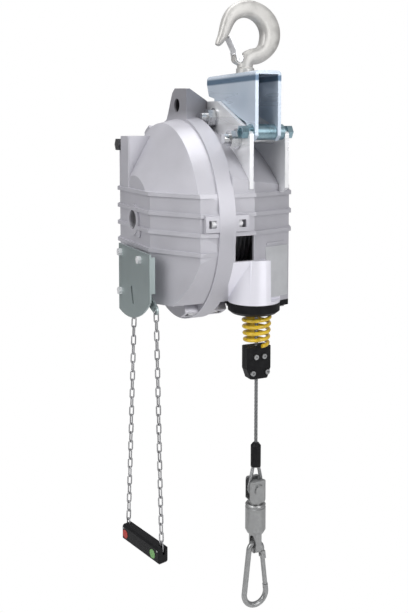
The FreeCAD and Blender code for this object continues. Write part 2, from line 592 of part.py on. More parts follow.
# ---- lock lever, chains and pull handle ----
def make_lock_lever():
    y0, y1 = LEVER_Y, LEVER_Y + LEVER_T
    arms = [arm(LEVER_X, LEVER_Z, 9.0, LEVER_X + s * CHAIN_HALF, CHAIN_Z, 6.5, y0, y1)
            for s in (-1, 1)]
    holes = [rod_y(3.0, LEVER_X + s * CHAIN_HALF, CHAIN_Z, y0 - 1, y1 + 1) for s in (-1, 1)]
    return fuse(arms).cut(holes).cut(rod_y(5.0, LEVER_X, LEVER_Z, y0 - 1, y1 + 1))


def make_lock_shaft():
    return rod_y(5.0, LEVER_X, LEVER_Z, LEVER_Y - 2, RATCHET_Y + RATCHET_T)


def make_lock_pawl():
    """Cranked pawl whose nose drops into a gap of the locking ring."""
    y0, y1 = RATCHET_Y + 0.5, RATCHET_Y + RATCHET_T - 0.5
    reach = math.hypot(LEVER_X, LEVER_Z)
    nx, nz = -LEVER_X / reach, -LEVER_Z / reach
    elbow = (LEVER_X + 28 * nz, LEVER_Z - 28 * nx)
    nose = (elbow[0] + 24 * nx, elbow[1] + 24 * nz)
    pawl = fuse([arm(LEVER_X, LEVER_Z, 8.0, elbow[0], elbow[1], 5.0, y0, y1),
                 arm(elbow[0], elbow[1], 5.0, nose[0], nose[1], 4.0, y0, y1)])
    return pawl.cut(rod_y(5.0, LEVER_X, LEVER_Z, -100, 0))


def make_bracket():
    """Zinc-plated cover plate in front of the lever, with a bent rim and a slot."""
    y0, y1 = BRACKET_Y, BRACKET_Y + BRACKET_T
    plate = rod_y(BRACKET_R, 0, 0, y0, y1).common(box(-34, 95, y0, y1, -200, -38))
    rim = fuse([box(-34, -34 + BRACKET_T, y0, -LEFT_DEPTH, -132, -42),
                box(95 - BRACKET_T, 95, y0, y0 + 8, -92, -42)])
    bracket = fuse([plate, rim])
    slot = arm(22, -96, 3.0, 28, -116, 3.0, y0 - 1, y1 + 1)
    holes = [rod_y(3.2, x, z, y0 - 1, y1 + 1) for x, z in BRACKET_BOLTS]
    return bracket.cut([slot] + holes)


BRACKET_BOLTS = ((-24.0, -108.0), (-24.0, -50.0), (58.0, -50.0))


def make_bracket_bolts():
    pieces = []
    for x, z in BRACKET_BOLTS:
        head = hex_y(10, x, z, BRACKET_Y - 5, BRACKET_Y)
        shank = rod_y(3.0, x, z, BRACKET_Y, -LEFT_DEPTH)
        sleeve = rod_y(6.0, x, z, BRACKET_Y + BRACKET_T, -LEFT_DEPTH)
        pieces += [fuse([head, shank]), sleeve.cut(rod_y(3.0, x, z, -100, 0))]
    return group(pieces)


def faceted_link(centre, along, across):
    """One chain link: a six-sided wire round an eight-cornered loop."""
    side = along.cross(across)
    half_l, half_w = LINK_INNER / 2 + LINK_WIRE, LINK_W / 2 - LINK_WIRE
    bend = half_w * 0.55
    loop = [(half_l - bend, half_w), (-half_l + bend, half_w), (-half_l, half_w - bend),
            (-half_l, -half_w + bend), (-half_l + bend, -half_w), (half_l - bend, -half_w),
            (half_l, -half_w + bend), (half_l, half_w - bend)]
    spots = [centre + along * a + across * b for a, b in loop]
    rings = []
    count = len(spots)
    for i in range(count):
        back = (spots[i] - spots[i - 1]).normalize()
        ahead = (spots[(i + 1) % count] - spots[i]).normalize()
        mitre = (ahead - back).normalize()
        stretch = 1 / math.cos(back.getAngle(ahead) / 2)
        ring = []
        for k in range(6):
            a = math.radians(60 * k)
            ring.append(spots[i] + mitre * (LINK_WIRE * stretch * math.cos(a))
                        + side * (LINK_WIRE * math.sin(a)))
        rings.append(ring)
    faces = []
    for i in range(count):
        near, far = rings[i], rings[(i + 1) % count]
        for k in range(6):
            m = (k + 1) % 6
            faces.append(Part.Face(Part.makePolygon([near[k], near[m], far[m], far[k], near[k]])))
    solid = Part.Solid(Part.Shell(faces))
    if solid.Volume < 0:
        solid.reverse()
    return solid


def handle_point(sign):
    turn = math.radians(HANDLE_TWIST)
    return V(HANDLE_X + sign * CHAIN_HALF * math.cos(turn),
             HANDLE_Y + sign * CHAIN_HALF * math.sin(turn), 0)


def chain_reach():
    return 2 * (LINK_INNER / 2 + LINK_WIRE) + (LINKS - 1) * (LINK_INNER - 0.1)


def pin_height():
    top = CHAIN_Z - 3.0 + LINK_WIRE + 0.5
    return top - chain_reach() + LINK_WIRE + 0.3 + HANDLE_PIN_R


def make_chain(sign):
    """Links from the lever's hole to the handle's pin, each turned across the last."""
    top = V(LEVER_X + sign * CHAIN_HALF, LEVER_Y + LEVER_T / 2,
            CHAIN_Z - 3.0 + LINK_WIRE + 0.5)
    low = handle_point(sign)
    low.z = top.z - chain_reach()
    along = (low - top).normalize()
    links = []
    for i in range(LINKS):
        twist = math.radians(90 + HANDLE_TWIST * i / (LINKS - 1) - 90 * (i % 2))
        across = V(math.cos(twist), math.sin(twist), 0)
        across = (across - along * across.dot(along)).normalize()
        middle = top + along * (LINK_INNER / 2 + LINK_WIRE + i * (LINK_INNER - 0.1))
        links.append(faceted_link(middle, along, across))
    return group(links)


def turn_to_handle(shape):
    shape.rotate(V(0, 0, 0), Z_AXIS, HANDLE_TWIST)
    shape.translate(V(HANDLE_X, HANDLE_Y, pin_height()))
    return shape


def make_handle():
    """Moulded bar, slotted at both ends for the last chain link."""
    bar = box(-HANDLE_L / 2, HANDLE_L / 2, -HANDLE_W / 2, HANDLE_W / 2, 5.0 - HANDLE_H, 5.0)
    bar = bevel_edges(bar, 2.6, lambda e: True)
    cuts = []
    for s in (-1, 1):
        x = s * CHAIN_HALF
        x0, x1 = sorted((x - s * 5.6, s * (HANDLE_L / 2 + 1)))
        cuts.append(box(x0, x1, -1.7, 1.7, -5.5, 6))
        cuts.append(rod_y(HANDLE_PIN_R, x, 0, -20, 20))
    for x in MARKERS:
        cuts.append(rod_y(MARKER_R, x, -7.5, -HANDLE_W / 2 - 1, -HANDLE_W / 2 + 1.5))
    return turn_to_handle(bar.cut(cuts))


def make_handle_pins():
    return turn_to_handle(group([rod_y(HANDLE_PIN_R, s * CHAIN_HALF, 0, -HANDLE_W / 2 + 0.2,
                                       HANDLE_W / 2 - 0.2) for s in (-1, 1)]))


def make_marker(x):
    return turn_to_handle(rod_y(MARKER_R, x, -7.5, -HANDLE_W / 2 - 0.3, -HANDLE_W / 2 + 1.5))


# ---- rope guide, buffer, stop clamp and load swivel ----
def make_guide_base():
    z = BOTTOM_Z
    plan = [(70, 32), (104, 32), (FRONT_X, 46), (FACE_X1, FACE_Y1), (70, FACE_Y1)]
    plate = fuse([prism_z(plan, z - GUIDE_PLATE_T, z),
                  rod_z(COLUMN_R, COLUMN_X, COLUMN_Y, z - GUIDE_PLATE_T, z)])
    nozzle = revolve_z([(0, z - GUIDE_PLATE_T), (COLUMN_R, z - GUIDE_PLATE_T),
                        (COLUMN_R, z - GUIDE_DEPTH + 4), (COLUMN_R - 5, z - GUIDE_DEPTH),
                        (0, z - GUIDE_DEPTH)], COLUMN_X, COLUMN_Y)
    spigot = rod_z(11.8, ROPE_X, ROPE_Y, z, z + WALL + 6)
    bore = revolve_z([(0, z + 20), (7, z + 20), (3.2, z), (3.2, z - 10),
                      (7, z - 20), (0, z - 20)], ROPE_X, ROPE_Y)
    holes = []
    for x, y in GUIDE_SCREWS:
        holes += [rod_z(2.55, x, y, z - 20, z + 20), rod_z(5.3, x, y, z - 20, z - GUIDE_PLATE_T)]
    return fuse([plate, nozzle, spigot]).cut(bore).cut(holes)


GUIDE_SCREWS = ((79, 38), (79, 102), (110, 104))


def make_guide_screws():
    pieces = []
    for x, y in GUIDE_SCREWS:
        z = BOTTOM_Z - GUIDE_PLATE_T
        pieces.append(fuse([rod_z(5, x, y, z - 3, z), rod_z(2.5, x, y, z, BOTTOM_Z + 2)]))
    return group(pieces)


def make_buffer_spring():
    height = BUFFER_TOP - BUFFER_BOTTOM - 2 * BUFFER_WIRE
    angle = math.degrees(math.atan((BUFFER_R_TOP - BUFFER_R_BOTTOM) / height))
    helix = Part.makeLongHelix(height / BUFFER_TURNS, height, BUFFER_R_BOTTOM, angle)
    wire = Part.Wire(helix)
    profile = Part.Wire(Part.makeCircle(BUFFER_WIRE, V(BUFFER_R_BOTTOM, 0, 0), Y_AXIS))
    spring = wire.makePipeShell([profile], True, True)
    spring.translate(V(ROPE_X, ROPE_Y, BUFFER_BOTTOM + BUFFER_WIRE))
    return spring


def make_rope_lead():
    """Rope from its tangent point on the drum, down into the guide."""
    radius = DRUM_R + 0.4
    reach = math.hypot(ROPE_X, LEAD_BEND_Z)
    lean = math.atan2(-LEAD_BEND_Z, -ROPE_X) - math.asin(radius / reach)
    run = math.sqrt(reach ** 2 - radius ** 2)
    bend = V(ROPE_X, ROPE_Y, LEAD_BEND_Z)
    heading = V(math.cos(lean), 0, math.sin(lean))
    turn = lean - math.pi / 2
    middle = bend - X_AXIS * (LEAD_BEND * math.tan(turn / 4))
    low, high = bend - Z_AXIS * LEAD_BEND, bend + heading * LEAD_BEND
    print(f"rope lead bend radius {LEAD_BEND / math.tan(turn / 2):.0f} mm")
    return tube_along([("line", bend + heading * run, high), ("arc", high, middle, low)], ROPE_R)


def make_pulled_rope():
    return rod_z(ROPE_R, ROPE_X, ROPE_Y, CLAMP_TOP, LEAD_BEND_Z - LEAD_BEND - 0.2)


def make_wire_rope():
    return rod_z(ROPE_R, ROPE_X, ROPE_Y, FERRULE_BOTTOM + 8, CLAMP_TOP)


CLAMP_SCREWS = ((-6.5, -189.5), (6.5, -189.5), (-11.5, -212.5), (11.5, -212.5))


def make_clamp_half(side):
    half = CLAMP_W / 2
    outline = [(-half, CLAMP_TOP), (half, CLAMP_TOP), (half, CLAMP_BOTTOM + 14),
               (half - 5, CLAMP_BOTTOM), (-half + 5, CLAMP_BOTTOM), (-half, CLAMP_BOTTOM + 14)]
    x0, x1 = (0.2, CLAMP_T / 2) if side > 0 else (-CLAMP_T / 2, -0.2)
    block = prism_x(outline, x0, x1)
    outer = CLAMP_T / 2 * side
    block = round_edges(block, 4.5, lambda e: abs(e.CenterOfMass.x - outer) < 0.01
                        and abs(e.CenterOfMass.y) > half - 6)
    block.translate(V(ROPE_X, ROPE_Y, 0))
    holes = [rod_x(2.0, ROPE_Y + y, z, ROPE_X - 20, ROPE_X + 20) for y, z in CLAMP_SCREWS]
    return block.cut(rod_z(ROPE_R, ROPE_X, ROPE_Y, -400, 0)).cut(holes)


def make_clamp_screws():
    face = CLAMP_T / 2
    pieces = []
    for y, z in CLAMP_SCREWS:
        head = rod_x(3.6, ROPE_Y + y, z, ROPE_X + face, ROPE_X + face + 2.4)
        socket = prism_x([(ROPE_Y + y + a, z + b) for a, b in hexagon(3.0)],
                         ROPE_X + face + 0.8, ROPE_X + face + 3)
        pieces.append(fuse([head, rod_x(2.0, ROPE_Y + y, z, ROPE_X - face + 2,
                                        ROPE_X + face)]).cut(socket))
    return group(pieces)


def make_ferrule():
    r, t, b = FERRULE_R, FERRULE_TOP, FERRULE_BOTTOM
    body = revolve_z([(0, b), (r, b), (r, t - 4), (r - 3, t), (0, t)], ROPE_X, ROPE_Y)
    ways = [rod_z(ROPE_R, ROPE_X, ROPE_Y, b + 8, t + 1), eye_rope(ROPE_R)]
    return body.cut(ways)


def eye_rope(radius):
    """Rope turned back on itself round the thimble, in a Y-Z plane."""
    mouth = V(0, 2.7, FERRULE_BOTTOM + 7.5)
    centre = V(0, 0, EYE_Z)
    to_centre = centre - mouth
    base = math.atan2(to_centre.z, to_centre.y)
    swing = math.acos(EYE_R / to_centre.Length)
    normal = base + math.pi - swing
    touch = centre + V(0, math.cos(normal), math.sin(normal)) * EYE_R
    if touch.y < 0:
        normal = base + math.pi + swing
        touch = centre + V(0, math.cos(normal), math.sin(normal)) * EYE_R
    mirror = V(0, -touch.y, touch.z)
    path = [("line", mouth, touch), ("arc", touch, centre - Z_AXIS * EYE_R, mirror),
            ("line", mirror, V(0, -mouth.y, mouth.z))]
    tube = tube_along(path, radius)
    tube.translate(V(ROPE_X, ROPE_Y, 0))
    return tube


def make_rope_eye():
    rope = eye_rope(ROPE_R)
    below = box(0, 300, 0, 200, -500, FERRULE_BOTTOM + 7.9)
    return rope.common(below)


def make_thimble():
    groove = EYE_R - ROPE_R
    ring = [(FORK_PIN_R + 0.05, -4.2), (groove + 1.6, -4.2), (groove - 0.1, -2.0),
            (groove - 0.1, 2.0), (groove + 1.6, 4.2), (FORK_PIN_R + 0.05, 4.2)]
    wire = Part.makePolygon([V(x, r, 0) for r, x in ring] + [V(ring[0][1], ring[0][0], 0)])
    thimble = Part.Face(wire).revolve(V(0, 0, 0), X_AXIS, 360)
    thimble.translate(V(ROPE_X, ROPE_Y, EYE_Z))
    return thimble.cut(eye_rope(ROPE_R))


def make_swivel_fork():
    half = FORK_W / 2
    block = box(-12, 12, -half, half, FORK_BOTTOM, FORK_TOP)
    block = round_edges(block, 6.0, lambda e: abs(e.tangentAt(e.FirstParameter).x) > 0.99)
    block = block.common(rod_z(half + 1.0, 0, 0, FORK_BOTTOM, FORK_TOP))
    block = block.cut(box(-6.5, 6.5, -20, 20, FORK_BOTTOM + 4.5, FORK_TOP + 1))
    neck = rod_z(5.5, 0, 0, BARREL_BOTTOM + 6, FORK_BOTTOM + 1)
    ring = rod_z(10.5, 0, 0, BARREL_TOP + 0.3, FORK_BOTTOM)
    head = rod_z(8.5, 0, 0, BARREL_BOTTOM + 6, BARREL_BOTTOM + 12)
    fork = fuse([block, ring, neck, head]).cut(rod_x(FORK_PIN_R, 0, EYE_Z, -20, 20))
    fork.translate(V(ROPE_X, ROPE_Y, 0))
    return fork


def make_fork_pin():
    pin = fuse([rod_x(FORK_PIN_R, 0, EYE_Z, -14, 12), rod_x(7.0, 0, EYE_Z, 12, 15)])
    pin = pin.fuse(rod_x(6.2, 0, EYE_Z, -15, -12))
    pin.translate(V(ROPE_X, ROPE_Y, 0))
    return pin


def make_swivel_barrel():
    """Barrel of the load swivel, drawn out below into a flat eye."""
    r, t, b = BARREL_R, BARREL_TOP, BARREL_BOTTOM
    barrel = revolve_z([(0, b), (r - 2.5, b), (r, b + 5), (r, t - 6), (r - 1.2, t - 5), (r - 1.2, t - 3),
                        (r, t - 2), (r - 1.5, t), (0, t)], 0, 0)
    half = TONGUE_W / 2
    tongue = box(-half, half, -TONGUE_T / 2, TONGUE_T / 2, TONGUE_BOTTOM + half, b + 3)
    foot = rod_y(half, 0, TONGUE_BOTTOM + half, -TONGUE_T / 2, TONGUE_T / 2)
    body = fuse([barrel, tongue, foot])
    eye = rod_y(TONGUE_EYE_R, 0, TONGUE_EYE_Z, -20, 20)
    room = revolve_z([(0, b + 5.7), (8.8, b + 5.7), (8.8, b + 12.3), (5.55, b + 12.3),
                      (5.55, t + 1), (0, t + 1)], 0, 0)
    body = body.cut([eye, room])
    body.translate(V(ROPE_X, ROPE_Y, 0))
    return body


def snap_points():
    """Tangent points of the snap hook's centre line, on its right-hand side."""
    upper, lower = SNAP_TOP - SNAP_R1, SNAP_BOTTOM + SNAP_WIRE + SNAP_R2
    lean = math.asin((SNAP_R2 - SNAP_R1) / (upper - lower))
    high = V(0, SNAP_R1 * math.cos(lean), upper + SNAP_R1 * math.sin(lean))
    low = V(0, SNAP_R2 * math.cos(lean), lower + SNAP_R2 * math.sin(lean))
    return high, low


GATE_START, GATE_END = 0.17, 0.86               # part of the right leg that the gate takes


def gate_ends():
    high, low = snap_points()
    return high + (low - high) * GATE_START, high + (low - high) * GATE_END


def mirror_y(point):
    return V(point.x, -point.y, point.z)


def make_snap_hook():
    high, low = snap_points()
    hinge, nose = gate_ends()
    along = (low - high).normalize()
    start = hinge - along * 4.2
    path = [("line", start, high),
            ("arc", high, V(0, 0, SNAP_TOP), mirror_y(high)),
            ("line", mirror_y(high), mirror_y(low)),
            ("arc", mirror_y(low), V(0, 0, SNAP_BOTTOM + SNAP_WIRE), low),
            ("line", low, nose + along * 0.5)]
    body = tube_along(path, SNAP_WIRE)
    body = largest(body.common(box(-30, 30, -60, 60, -700, -300)))
    cheeks = []
    for x0, x1 in ((-5.2, -3.7), (3.7, 5.2)):
        cheek = Part.makeBox(x1 - x0, 6.4, 11.5, V(x0, -3.2, -4.0))
        cheek.rotate(V(0, 0, 0), X_AXIS, math.degrees(math.atan2(along.y, -along.z)))
        cheek.translate(hinge)
        cheeks.append(cheek)
    body = fuse([body] + cheeks)
    body = body.cut(rod(1.5, hinge - X_AXIS * 9, X_AXIS, 18))
    body.translate(V(ROPE_X, ROPE_Y, 0))
    return body


def make_gate():
    """Sprung gate, flattened at its pin and rounded at its nose."""
    hinge, nose = gate_ends()
    along = nose - hinge
    gate = rod(3.4, hinge, along, along.Length)
    gate = fuse([gate, Part.makeSphere(3.4, hinge)])
    gate = gate.cut(rod(1.55, hinge - X_AXIS * 9, X_AXIS, 18))
    gate.translate(V(ROPE_X, ROPE_Y, 0))
    return gate


def make_gate_pin():
    hinge, _ = gate_ends()
    pin = rod(1.5, hinge - X_AXIS * 5.6, X_AXIS, 11.2)
    pin.translate(V(ROPE_X, ROPE_Y, 0))
    return pin


# ---- output ----
def save(name, shape):
    shape = shape.copy()
    shape.translate(FRAME_SHIFT)
    good = shape.isValid() and all(s.isClosed() and s.Volume > 0 for s in shape.Solids)
    print(f"{name:20s} solids {len(shape.Solids):3d} volume {shape.Volume:12.0f} "
          f"faces {len(shape.Faces):4d} {'ok' if good else 'BAD'}")
    shape.exportStep("parts/" + name + ".step")


def main():
    os.makedirs("parts", exist_ok=True)
    left_shell, right_shell = make_left_shell(), make_right_shell()
    left_solid, right_solid = left_form(0, 0), right_form(0, 0)
    save("left_shell", left_shell)
    save("right_shell", right_shell)
    save("clamp_bolts", make_clamp_bolts())
    save("nameplate", on_label(LABEL_START, LABEL_END, LABEL_Z0, LABEL_Z1, 0, 1.0))
    save("left_ear", ear(LEFT_EAR_Y, right_solid.fuse(right_shell)))
    save("right_ear", ear(RIGHT_EAR_Y, right_solid.fuse(right_shell)))
    save("ear_bolts", make_ear_bolts())
    save("suspension_yoke", make_yoke())
    save("yoke_bolt", make_yoke_bolt())
    save("top_hook", make_top_hook())
    save("hook_nut", make_hook_nut())
    save("hook_bearing", make_thrust_bearing())
    save("hook_latch", make_hook_latch())
    save("latch_pin", rod_x(2.0, HOOK_Y + LATCH_Y, BOWL_Z + LATCH_Z, HOOK_X - 10.5, HOOK_X + 10.5))
    save("rope_drum", make_rope_drum())
    save("rope_on_drum", make_rope_on_drum())
    save("spring_cassette", make_cassette())
    save("power_spring", make_power_spring())
    save("spring_arbor", make_arbor())
    save("drum_bearings", make_bearings())
    save("locking_ring", make_ratchet())
    save("worm_wheel", make_worm_wheel())
    save("worm_shaft", make_worm_shaft())
    save("worm_housing", make_worm_housing(left_solid.fuse(left_shell)))
    save("tower_plug", make_tower_plug())
    save("lock_lever", make_lock_lever())
    save("lock_shaft", make_lock_shaft())
    save("lock_pawl", make_lock_pawl())
    save("lock_bracket", make_bracket())
    save("bracket_bolts", make_bracket_bolts())
    save("lock_chain", make_chain(-1))
    save("release_chain", make_chain(1))
    save("pull_handle", make_handle())
    save("handle_pins", make_handle_pins())
    save("lock_marker", make_marker(MARKERS[0]))
    save("release_marker", make_marker(MARKERS[1]))
    save("rope_guide", make_guide_base())
    save("guide_screws", make_guide_screws())
    save("buffer_spring", make_buffer_spring())
    save("rope_lead", make_rope_lead())
    save("pulled_rope", make_pulled_rope())
    save("wire_rope", make_wire_rope())
    save("clamp_front", make_clamp_half(1))
    save("clamp_back", make_clamp_half(-1))
    save("clamp_screws", make_clamp_screws())
    save("rope_ferrule", make_ferrule())
    save("rope_eye", make_rope_eye())
    save("thimble", make_thimble())
    save("swivel_fork", make_swivel_fork())
    save("fork_pin", make_fork_pin())
    save("swivel_barrel", make_swivel_barrel())
    save("snap_hook", make_snap_hook())
    save("snap_gate", make_gate())
    save("gate_pin", make_gate_pin())


main()
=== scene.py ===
import json
import math

import bmesh
import bpy
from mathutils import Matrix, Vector


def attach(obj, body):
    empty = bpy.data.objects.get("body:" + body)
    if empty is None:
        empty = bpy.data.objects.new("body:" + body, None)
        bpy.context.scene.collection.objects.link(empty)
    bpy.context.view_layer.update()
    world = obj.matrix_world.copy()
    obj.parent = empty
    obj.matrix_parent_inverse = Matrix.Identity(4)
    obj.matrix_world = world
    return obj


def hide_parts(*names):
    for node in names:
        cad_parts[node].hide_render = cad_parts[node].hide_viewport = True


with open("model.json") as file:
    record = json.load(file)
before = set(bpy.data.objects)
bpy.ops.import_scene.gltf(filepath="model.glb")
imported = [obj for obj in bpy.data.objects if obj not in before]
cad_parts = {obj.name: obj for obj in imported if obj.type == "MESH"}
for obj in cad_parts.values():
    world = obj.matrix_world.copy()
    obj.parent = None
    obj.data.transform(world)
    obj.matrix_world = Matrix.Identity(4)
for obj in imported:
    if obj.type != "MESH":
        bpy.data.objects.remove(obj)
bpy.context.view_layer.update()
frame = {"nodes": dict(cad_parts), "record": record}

# Heavy spring balancer on white. Metres; the origin is the crown of the suspension hook's bowl,
# X to the rope side, Y along the drum and Z up, as in the solids.

MM = 0.001
HOUSING = Vector((-0.076, -0.063, -0.288))       # drum axis at the shells' split plane
ROPE = Vector((0.034, 0.002, 0.0))               # axis of the hanging rope
ROPE_TOP, ROPE_END = -0.4640, -0.6330            # wire rope from the stop clamp to its ferrule
ROPE_D = 0.005
ROPE_LAY, ROPE_STRANDS, STRAND_SIDES, ROPE_STEPS = 0.032, 6, 5, 140
LINKS, LINK_INNER, LINK_WIRE, LINK_W = 26, 0.01335, 0.001, 0.008
LINK_PITCH = LINK_INNER - 0.0001
LEVER = HOUSING + Vector((0.054, -0.0825, -0.114))
CHAIN_HALF, CHAIN_DROP = 0.043, 0.0015
HANDLE = HOUSING + Vector((0.046, -0.0825, 0.0))
HANDLE_TWIST = math.radians(13.6)
BEND_STEPS, WIRE_SIDES = 10, 10                  # facets of a link's bend and of its wire

# places on the casting where the colour changes, from the drum axis: the lug's coat, a painted
# highlight on the rope column and painted shade in the bores
LUG_LOW, LUG_HIGH = 0.144, 0.158                 # the thin, darker coat begins between these
# painted highlight on the column round the rope, standing in for a softbox reflection
COLUMN_X, COLUMN_Y, COLUMN_HIGHLIGHT_BAND = 0.110, 0.0605, (0.0372, 0.0376)
HIGHLIGHT_TOP = (-0.0492, -0.0488)
HIGHLIGHT_EDGE_NORMAL, HIGHLIGHT_EDGE_START = (0.474, 0.880), 0.069   # painted highlight on the wall beyond this plane, where the column grows out of the flange side
# bores that get painted shade inside: x, z, radius, y0, y1 from the drum axis
EYE_BORE = (0.003, 0.166, 0.0108, -0.0105, 0.0195)
HUB_BORE = (0.0, 0.0, 0.0141, -0.0795, -0.060)
BORE_PAINTED_SHADE = (0.03, 0.03, 0.032)
EVEN = (1.0, 1.0, 1.0)


# ---- camera ----
def add_camera():
    data = bpy.data.cameras.new("camera")
    data.sensor_fit = "AUTO"
    data.sensor_width = 36.0
    data.lens = 46.98
    data.shift_y = -0.18
    data.clip_end = 30.0
    camera = bpy.data.objects.new("camera", data)
    bpy.context.scene.collection.objects.link(camera)
    camera.location = (1.0195, -0.5327, -0.1588)
    camera.rotation_euler = (math.radians(90 - 4.70), 0.0, math.radians(65.33))
    bpy.context.scene.camera = camera


# ---- materials ----
class Nodes:
    """A material's node tree, with short calls to add and join nodes."""

    def __init__(self, name):
        self.material = bpy.data.materials.new(name)
        self.material.use_nodes = True
        self.tree = self.material.node_tree
        self.shader = self.tree.nodes["Principled BSDF"]
        self.place = self.add("ShaderNodeTexCoord").outputs["Object"]

    def add(self, kind, **values):
        node = self.tree.nodes.new(kind)
        for key, value in values.items():
            if key in node.inputs:
                node.inputs[key].default_value = value
            else:
                setattr(node, key, value)
        return node

    def join(self, source, target):
        self.tree.links.new(source, target)

    def noise(self, scale, detail=4.0, stretch=(1.0, 1.0, 1.0), rough=0.55):
        mapping = self.add("ShaderNodeMapping")
        mapping.inputs["Scale"].default_value = stretch
        self.join(self.place, mapping.inputs["Vector"])
        noise = self.add("ShaderNodeTexNoise", Scale=scale, Detail=detail, Roughness=rough)
        self.join(mapping.outputs["Vector"], noise.inputs["Vector"])
        return noise.outputs["Fac"]

    def ramp(self, source, stops):
        ramp = self.add("ShaderNodeValToRGB")
        elements = ramp.color_ramp.elements
        while len(elements) < len(stops):
            elements.new(0.5)
        for element, (spot, colour) in zip(elements, stops):
            element.position = spot
            element.color = (*colour, 1.0)
        self.join(source, ramp.inputs["Fac"])
        return ramp.outputs["Color"]

    def blend(self, below, factor, colour):
        mix = self.add("ShaderNodeMix", data_type="RGBA")
        self.join(factor, mix.inputs[0])
        self.join(below, mix.inputs[6])
        mix.inputs[7].default_value = (*colour, 1.0)
        return mix.outputs[2]

    def maths(self, operation, first, second):
        node = self.add("ShaderNodeMath", operation=operation)
        self.join(first, node.inputs[0])
        self.join(second, node.inputs[1])
        return node.outputs[0]

    def split(self):
        node = self.add("ShaderNodeSeparateXYZ")
        self.join(self.place, node.inputs[0])
        return node

    def distance(self, keep, centre):
        """Distance to centre, along the axes that keep has as 1."""
        flat = self.add("ShaderNodeVectorMath", operation="MULTIPLY")
        flat.inputs[1].default_value = keep
        away = self.add("ShaderNodeVectorMath", operation="DISTANCE")
        away.inputs[1].default_value = centre
        self.join(self.place, flat.inputs[0])
        self.join(flat.outputs["Vector"], away.inputs[0])
        return away.outputs["Value"]

    def bore_shade_mask(self, x, z, radius, y0, y1):
        """1 inside a bore along Y, given from the drum axis: where shade is painted into a hole.
        """
        across = self.distance((1.0, 0.0, 1.0), (HOUSING.x + x, 0.0, HOUSING.z + z))
        y = self.split().outputs["Y"]
        near = self.spread(across, radius - 0.0003, radius, 1.0, 0.0)
        deep = self.spread(y, HOUSING.y + y0, HOUSING.y + y0 + 0.002, 0.0, 1.0)
        ends = self.spread(y, HOUSING.y + y1, HOUSING.y + y1 + 0.001, 1.0, 0.0)
        return self.maths("MULTIPLY", self.maths("MULTIPLY", near, deep), ends)

    def spread(self, source, low, high, out_low, out_high):
        ranged = self.add("ShaderNodeMapRange")
        for key, value in (("From Min", low), ("From Max", high), ("To Min", out_low),
                           ("To Max", out_high)):
            ranged.inputs[key].default_value = value
        self.join(source, ranged.inputs["Value"])
        return ranged.outputs["Result"]

    def bump(self, height, distance, strength=1.0, before=None):
        bump = self.add("ShaderNodeBump", Strength=strength, Distance=distance)
        self.join(height, bump.inputs["Height"])
        if before is not None:
            self.join(before, bump.inputs["Normal"])
        return bump.outputs["Normal"]

    def use(self, **values):
        for key, value in values.items():
            socket = self.shader.inputs[key.replace("_", " ")]
            if isinstance(value, bpy.types.NodeSocket):
                self.join(value, socket)
            elif isinstance(value, tuple):
                socket.default_value = (*value, 1.0)
            else:
                socket.default_value = value
        return self.material


def shade(colour, factor):
    return tuple(min(1.0, c * factor) for c in colour)


def cast_paint(name, colour, roughness=0.42):
    """Aluminium casting with a thin silver-grey coat: sand grain, slow mottling, a darker lug
    where the coat is thin on top, a painted highlight on the column round the rope and on the
    flange wall at its foot, and painted shade inside the eye and hub bores."""
    n = Nodes(name)
    grain = n.noise(900.0, 3.0)
    swell = n.noise(60.0, 2.0)
    patches = n.noise(14.0, 5.0)
    tint = n.ramp(patches, [(0.30, shade(colour, 0.92)), (0.55, colour),
                            (0.78, shade(colour, 1.06))])
    split = n.split()
    height, depth = split.outputs["Z"], split.outputs["Y"]
    lug = n.spread(height, HOUSING.z + LUG_LOW, HOUSING.z + LUG_HIGH, 0.0, 1.0)
    tint = n.blend(tint, lug, shade(colour, 0.60))
    # painted highlight: the column round the rope and the flange wall at its foot get a lighter
    # tint in place of a softbox reflection
    away = n.distance((1.0, 1.0, 0.0), (HOUSING.x + COLUMN_X, HOUSING.y + COLUMN_Y, 0.0))
    near = n.spread(away, *COLUMN_HIGHLIGHT_BAND, 1.0, 0.0)
    along = n.add("ShaderNodeVectorMath", operation="DOT_PRODUCT")
    n.join(n.place, along.inputs[0])
    along.inputs[1].default_value = (*HIGHLIGHT_EDGE_NORMAL, 0.0)
    highlight_edge_line = HIGHLIGHT_EDGE_NORMAL[0] * HOUSING.x + HIGHLIGHT_EDGE_NORMAL[1] * HOUSING.y + HIGHLIGHT_EDGE_START
    foot_highlight = n.spread(along.outputs["Value"], highlight_edge_line, highlight_edge_line + 0.002, 0.0, 1.0)
    beside = n.spread(depth, HOUSING.y + 0.0122, HOUSING.y + 0.0124, 0.0, 1.0)
    before = n.spread(depth, HOUSING.y + 0.044, HOUSING.y + 0.046, 1.0, 0.0)
    for mask in (beside, before):
        foot_highlight = n.maths("MULTIPLY", foot_highlight, mask)
    below = n.spread(height, HOUSING.z + HIGHLIGHT_TOP[0], HOUSING.z + HIGHLIGHT_TOP[1], 1.0, 0.0)
    column = n.maths("MULTIPLY", n.maths("MAXIMUM", near, foot_highlight), below)
    tint = n.blend(tint, column, shade(colour, 1.62))
    # painted shade inside the eye and hub bores
    for bore in (EYE_BORE, HUB_BORE):
        tint = n.blend(tint, n.bore_shade_mask(*bore), BORE_PAINTED_SHADE)
    bumps = n.bump(grain, 0.00008, 0.4, n.bump(swell, 0.0006, 0.3))
    return n.use(Base_Color=tint, Metallic=0.35, Normal=bumps,
                 Roughness=n.spread(patches, 0.3, 0.7, roughness - 0.06, roughness + 0.08))


